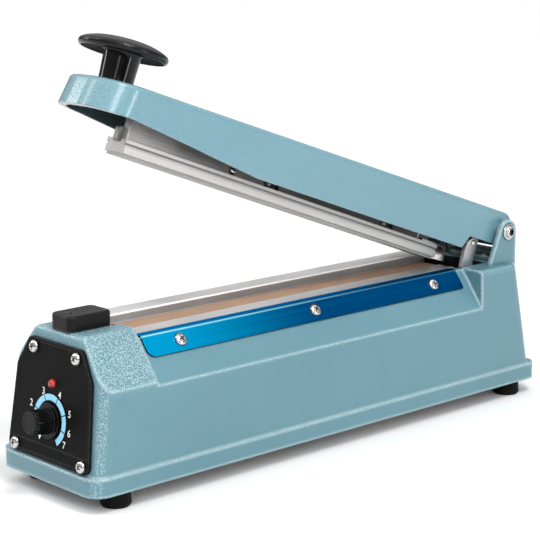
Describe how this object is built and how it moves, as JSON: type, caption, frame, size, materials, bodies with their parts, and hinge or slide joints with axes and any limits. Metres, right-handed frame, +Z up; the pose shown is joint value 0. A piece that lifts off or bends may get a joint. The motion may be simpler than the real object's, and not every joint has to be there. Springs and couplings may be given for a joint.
{
  "type": "bag sealer",
  "caption": "Bench bag sealer: painted housing with a heated bed, a timer panel at the front and a knobbed press arm hinged at the rear.",
  "frame": {"origin": "centre of the bounding box at the underside of the rubber feet", "axes": "+X from the timer panel to the hinge end, +Y away from the cover plate side, +Z up"},
  "size_m": [0.3415, 0.08, 0.2258],
  "materials": {
    "paint": "hammered teal-blue enamel",
    "plate_blue": "blue anodised, brushed lengthways",
    "panel_black": "fine satin",
    "black_gloss": "polished",
    "black_matte": "moulded",
    "chrome": "bright plated",
    "steel": "zinc plated",
    "spring_steel": "drawn wire",
    "aluminium": "extruded, matt",
    "rubber": "moulded",
    "silicone": "smooth",
    "tape": "woven glass with a slick coat",
    "insulation": "woven glass",
    "lamp_red": "clear coloured",
    "dial_blue": "printed",
    "board": "board with parts",
    "copper": "enamelled wire",
    "laminations": "stacked sheet, lacquered"
  },
  "bodies": {
    "base": {"base_housing": "paint", "base_plate": "steel", "rubber_feet": "rubber", "foot_screws": "steel", "control_panel": "panel_black", "panel_screws": "chrome", "indicator_lamp": "lamp_red", "dial_ring": "dial_blue", "timer_circuit_board": "board", "timer_potentiometer": "steel", "transformer_core": "laminations", "transformer_coil": "copper", "transformer_bracket": "steel", "transformer_screws": "steel", "switch_block": "black_matte", "micro_switch": "black_matte", "plunger_spring": "spring_steel", "heating_bed": "aluminium", "back_rail": "steel", "insulation_strip": "insulation", "heating_element": "steel", "ptfe_tape": "tape", "front_clamp": "black_matte", "rear_terminal": "copper", "bed_end_clip": "steel", "cover_plate": "plate_blue", "plate_screws": "chrome", "hinge_bracket": "paint", "hinge_bolt": "chrome", "hinge_nut": "steel", "hinge_bushes": "steel", "bridge_screws": "steel", "stop_bracket_outer": "steel", "stop_bracket_inner": "steel", "bracket_rivets": "steel", "return_spring": "spring_steel", "cord_gland": "black_matte"},
    "switch": {"switch_plunger": "black_matte"},
    "timer": {"timer_knob": "black_matte", "timer_shaft": "aluminium"},
    "arm": {"arm_shell": "paint", "handle_knob": "black_gloss", "knob_stud": "steel", "bar_guides": "steel", "guide_screws": "steel", "switch_pin": "steel", "arm_sleeve": "steel", "return_spring_leg": "spring_steel", "bar_spring_front": "spring_steel", "bar_spring_rear": "spring_steel"},
    "bar": {"press_bar": "aluminium", "web_front": "steel", "web_middle": "steel", "web_rear": "steel", "silicone_strip": "silicone", "bar_end_bracket": "steel", "web_screws": "steel", "bar_posts": "steel"}
  },
  "joints": [
    {"name": "arm_hinge", "type": "hinge", "parent": "base", "child": "arm", "pos_m": [0.15184, 0, 0.0973], "axis": [0, 1, 0], "range_deg": [-20.1, 0], "stiffness_Nm_per_rad": 3, "springref_deg": 34.38},
    {"name": "bar_float", "type": "slide", "parent": "arm", "child": "bar", "axis": [0.3262, 0, 0.9453], "range_m": [0, 0.00941], "deforming": ["bar_spring_front", "bar_spring_rear"]},
    {"name": "plunger_slide", "type": "slide", "parent": "base", "child": "switch", "axis": [0, 0, -1], "range_m": [0, 0.002], "stiffness_N_per_m": 300, "springref_m": -0.002, "deforming": ["plunger_spring"]},
    {"name": "timer_turn", "type": "hinge", "parent": "base", "child": "timer", "pos_m": [-0.15588, 0, 0.0389], "axis": [0.9931, 0, -0.1171], "range_deg": [0, 300]}
  ],
  "couplings": [
    {"joint": "bar_float", "follows": "arm_hinge", "m_per_rad": -0.026795}
  ]
}
